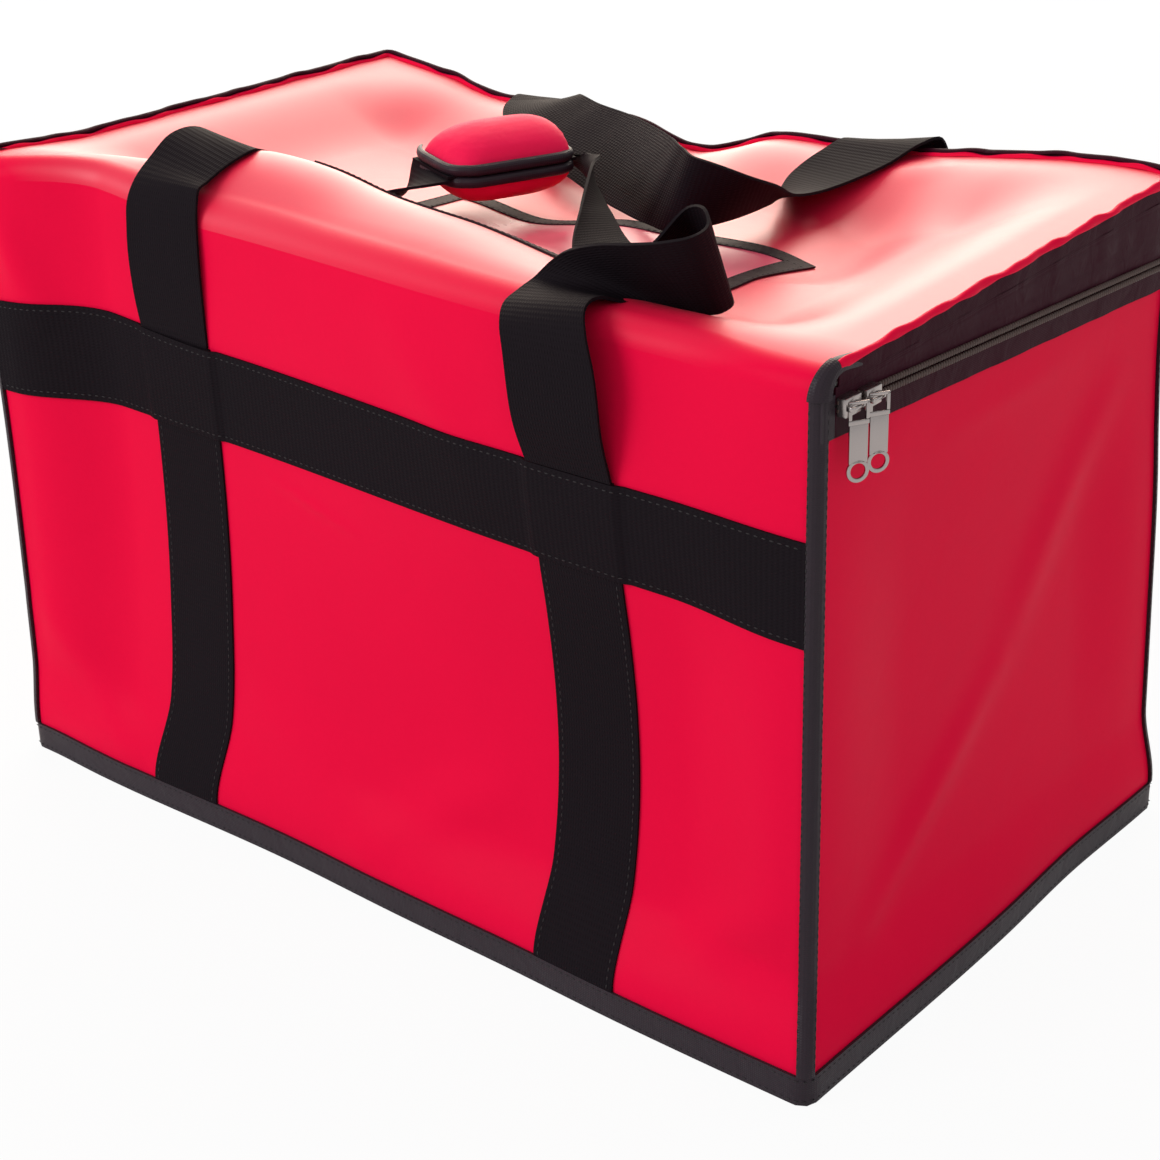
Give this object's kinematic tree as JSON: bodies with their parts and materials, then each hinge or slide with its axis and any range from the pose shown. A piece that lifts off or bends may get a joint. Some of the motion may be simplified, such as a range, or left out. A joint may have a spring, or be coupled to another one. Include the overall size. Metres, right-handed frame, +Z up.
{
  "type": "delivery bag",
  "caption": "Soft insulated box bag with a zipped lid hinged at the front top edge, webbing straps over two faces, two carry handles, a wrap grip and a clear document window.",
  "frame": {"origin": "centre of the flat underside, on the surface that the bag stands on", "axes": "+X along the length towards the end where the zip sliders park, +Y towards the back (away from the lid hinge), +Z up"},
  "size_m": [0.57, 0.3554, 0.3866],
  "materials": {
    "cover_red": "coated polyester, satin gloss",
    "foam_white": "closed-cell insulating foam, matt",
    "liner_silver": "metallised film laminate, soft sheen",
    "board_grey": "stiff base board, matt",
    "webbing_black": "woven polyester webbing, matt",
    "binding_black": "woven binding tape, matt",
    "zip_black": "woven zip tape, matt",
    "grip_red": "padded coated polyester",
    "fastener_black": "hook and loop pile",
    "film_clear": "clear soft vinyl, glossy",
    "zip_steel": "nickel-plated, satin"
  },
  "bodies": {
    "bag": {"band_back": "webbing_black", "band_front": "webbing_black", "base_board": "board_grey", "binding_back_left": "binding_black", "binding_back_right": "binding_black", "binding_base": "binding_black", "binding_front_left": "binding_black", "binding_front_right": "binding_black", "foam_back": "foam_white", "foam_base": "foam_white", "foam_front": "foam_white", "foam_left": "foam_white", "foam_right": "foam_white", "lid_hinge_fold": "cover_red", "liner_lip": "liner_silver", "liner_tub": "liner_silver", "riser_back_left": "webbing_black", "riser_back_right": "webbing_black", "riser_front_left": "webbing_black", "riser_front_right": "webbing_black", "shell_back": "cover_red", "shell_base": "cover_red", "shell_front": "cover_red", "shell_left": "cover_red", "shell_right": "cover_red", "strap_back_left": "webbing_black", "strap_back_right": "webbing_black", "strap_front_left": "webbing_black", "strap_front_right": "webbing_black", "zip_end_left": "binding_black", "zip_end_right": "binding_black", "zip_tape_lower": "zip_black", "zip_teeth_lower": "zip_steel"},
    "lid": {"lid_cover": "cover_red", "foam_lid": "foam_white", "liner_lid": "liner_silver", "lid_binding": "binding_black", "zip_tape_upper": "zip_black", "zip_teeth_upper": "zip_steel", "window_frame": "binding_black", "window_film": "film_clear"},
    "front_handle": {"handle_front_left": "webbing_black", "handle_front_middle": "webbing_black", "handle_front_right": "webbing_black", "grip_pad": "grip_red", "grip_pad_binding": "binding_black", "grip_loop_strip": "fastener_black"},
    "grip_flap": {"grip_flap": "grip_red", "grip_flap_binding": "binding_black", "grip_hook_strip": "fastener_black"},
    "rear_handle": {"rear_turn_left": "webbing_black", "rear_turn_right": "webbing_black", "handle_rear_left": "webbing_black", "handle_rear_middle": "webbing_black", "handle_rear_right": "webbing_black"},
    "slider_front": {"slider_front": "zip_steel"},
    "slider_rear": {"slider_rear": "zip_steel"},
    "pull_front": {"pull_front": "zip_steel"},
    "pull_rear": {"pull_rear": "zip_steel"}
  },
  "joints": [
    {"name": "lid_hinge", "type": "hinge", "parent": "bag", "child": "lid", "pos_m": [0, -0.158, 0.35], "axis": [1, 0, 0], "range_deg": [0, 110], "deforming": ["lid_hinge_fold"]},
    {"name": "front_handle_swing", "type": "hinge", "parent": "lid", "child": "front_handle", "pos_m": [0, -0.158, 0.35], "axis": [1, 0, 0], "range_deg": [0, 130], "deforming": ["handle_front_left", "handle_front_middle", "handle_front_right"]},
    {"name": "grip_flap_turn", "type": "hinge", "parent": "front_handle", "child": "grip_flap", "pos_m": [-0.09149, 0.03201, 0.352], "axis": [-0.4003, -0.9164, 0], "range_deg": [0, 110]},
    {"name": "rear_handle_swing", "type": "hinge", "parent": "bag", "child": "rear_handle", "pos_m": [0, 0.1657, 0.345], "axis": [-1, 0, 0], "range_deg": [0, 110], "deforming": ["rear_turn_left", "rear_turn_right", "handle_rear_left", "handle_rear_middle", "handle_rear_right"]},
    {"name": "slider_front_slide", "type": "slide", "parent": "bag", "child": "slider_front", "axis": [-0.0125, 0.9983, -0.0565], "range_m": [0, 0.0035]},
    {"name": "slider_rear_slide", "type": "slide", "parent": "bag", "child": "slider_rear", "axis": [-0.0125, 0.9983, -0.0565], "range_m": [0, 0.28]},
    {"name": "pull_front_swing", "type": "hinge", "parent": "slider_front", "child": "pull_front", "pos_m": [0.2867, -0.1495, 0.33748], "axis": [0.0125, -0.9983, 0.0565], "range_deg": [0, 110]},
    {"name": "pull_rear_swing", "type": "hinge", "parent": "slider_rear", "child": "pull_rear", "pos_m": [0.2865, -0.13359, 0.33658], "axis": [0.0125, -0.9983, 0.0565], "range_deg": [0, 110]}
  ],
  "couplings": [
    {"joint": "rear_handle_swing", "follows": "lid_hinge", "ratio": 1}
  ]
}
